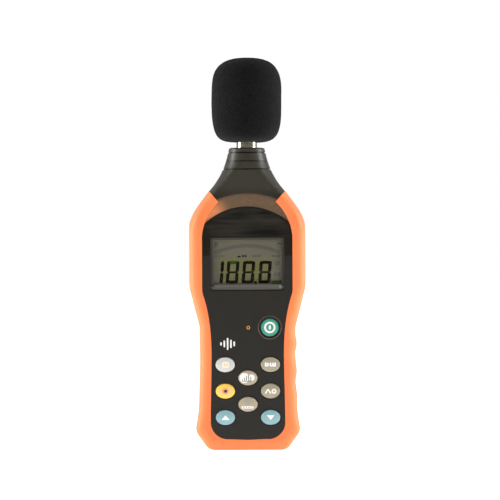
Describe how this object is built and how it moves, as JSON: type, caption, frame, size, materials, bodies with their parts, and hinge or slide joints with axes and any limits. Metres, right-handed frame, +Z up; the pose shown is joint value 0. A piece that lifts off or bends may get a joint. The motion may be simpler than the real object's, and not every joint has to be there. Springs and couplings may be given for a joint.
{
  "type": "sound level meter",
  "caption": "Hand-held sound level meter with a foam windscreen on a neck microphone, hooded display, oval keys and a soft two-shell grip.",
  "frame": {"origin": "centre of the flat sole's plane, under the middle of the windscreen's and the case's outline", "axes": "+Z up along the meter towards the microphone, -Y out of the display, +X to the right seen from the front"},
  "size_m": [0.0882, 0.0542, 0.2986],
  "materials": {
    "case_plastic": "satin",
    "grip_rubber": "satin",
    "clear_window": "gloss",
    "display_glass": "satin",
    "light_guide": "gloss",
    "black_rubber": "matte",
    "mat_rubber": "matte",
    "foam": "matte",
    "board": "gloss",
    "chip_plastic": "satin",
    "tinned_steel": "satin",
    "can_aluminium": "satin",
    "polished_metal": "gloss",
    "spring_steel": "gloss",
    "screw_steel": "satin",
    "brass": "satin",
    "cell_wrap": "gloss",
    "power_green": "satin",
    "ring_plastic": "satin",
    "amber_lens": "gloss",
    "white_key": "satin",
    "yellow_key": "satin",
    "blue_key": "satin",
    "beige_key": "satin",
    "grey_key": "satin"
  },
  "bodies": {
    "case": {"front_case": "case_plastic", "rear_case": "case_plastic", "front_grip": "grip_rubber", "rear_grip": "grip_rubber", "lcd_window": "clear_window", "lcd_glass": "display_glass", "lcd_frame": "case_plastic", "backlight_panel": "light_guide", "zebra_strip": "black_rubber", "power_ring": "ring_plastic", "keypad_mat": "mat_rubber", "carbon_pills": "black_rubber", "indicator_led": "amber_lens", "main_board": "board", "processor": "chip_plastic", "level_converter": "chip_plastic", "shield_can": "tinned_steel", "capacitors": "can_aluminium", "quartz_crystal": "tinned_steel", "mic_header": "chip_plastic", "mic_sleeve": "polished_metal", "mic_preamp_board": "board", "mic_insulator": "chip_plastic", "mic_backplate": "polished_metal", "mic_diaphragm": "polished_metal", "mic_grid": "polished_metal", "battery_cells": "cell_wrap", "battery_springs": "spring_steel", "battery_contacts": "tinned_steel", "door_insert": "brass", "tripod_insert": "brass", "case_screws": "screw_steel", "board_screws": "screw_steel", "output_socket": "chip_plastic"},
    "windscreen_body": {"windscreen": "foam"},
    "battery_lid": {"battery_door": "case_plastic"},
    "lid_screw": {"battery_door_screw": "screw_steel"},
    "power_button_body": {"power_button": "power_green"},
    "hold_key_body": {"hold_key": "white_key"},
    "max_min_key_body": {"max_min_key": "grey_key"},
    "level_key_body": {"level_key": "beige_key"},
    "backlight_key_body": {"backlight_key": "yellow_key"},
    "weighting_key_body": {"weighting_key": "grey_key"},
    "response_key_body": {"response_key": "beige_key"},
    "up_key_body": {"up_key": "blue_key"},
    "down_key_body": {"down_key": "blue_key"}
  },
  "joints": [
    {"name": "windscreen_pull", "type": "slide", "parent": "case", "child": "windscreen_body", "axis": [0, 0, 1], "range_m": [0, 0.06]},
    {"name": "battery_door_lift", "type": "slide", "parent": "case", "child": "battery_lid", "axis": [0, 1, 0], "range_m": [0, 0.03]},
    {"name": "door_screw_turn", "type": "hinge", "parent": "battery_lid", "child": "lid_screw", "pos_m": [0, 0.0206, 0.098], "axis": [0, 1, 0], "range_deg": [0, 1440]},
    {"name": "power_press", "type": "slide", "parent": "case", "child": "power_button_body", "axis": [0, 1, 0], "range_m": [0, 0.0007], "stiffness_N_per_m": 2500, "springref_m": -0.0004},
    {"name": "hold_press", "type": "slide", "parent": "case", "child": "hold_key_body", "axis": [0, 1, 0], "range_m": [0, 0.001], "stiffness_N_per_m": 1500, "springref_m": -0.0005},
    {"name": "max_min_press", "type": "slide", "parent": "case", "child": "max_min_key_body", "axis": [0, 1, 0], "range_m": [0, 0.001], "stiffness_N_per_m": 1500, "springref_m": -0.0005},
    {"name": "level_press", "type": "slide", "parent": "case", "child": "level_key_body", "axis": [0, 1, 0], "range_m": [0, 0.001], "stiffness_N_per_m": 1500, "springref_m": -0.0005},
    {"name": "backlight_press", "type": "slide", "parent": "case", "child": "backlight_key_body", "axis": [0, 1, 0], "range_m": [0, 0.001], "stiffness_N_per_m": 1500, "springref_m": -0.0005},
    {"name": "weighting_press", "type": "slide", "parent": "case", "child": "weighting_key_body", "axis": [0, 1, 0], "range_m": [0, 0.001], "stiffness_N_per_m": 1500, "springref_m": -0.0005},
    {"name": "response_press", "type": "slide", "parent": "case", "child": "response_key_body", "axis": [0, 1, 0], "range_m": [0, 0.001], "stiffness_N_per_m": 1500, "springref_m": -0.0005},
    {"name": "up_press", "type": "slide", "parent": "case", "child": "up_key_body", "axis": [0, 1, 0], "range_m": [0, 0.001], "stiffness_N_per_m": 1500, "springref_m": -0.0005},
    {"name": "down_press", "type": "slide", "parent": "case", "child": "down_key_body", "axis": [0, 1, 0], "range_m": [0, 0.001], "stiffness_N_per_m": 1500, "springref_m": -0.0005}
  ]
}
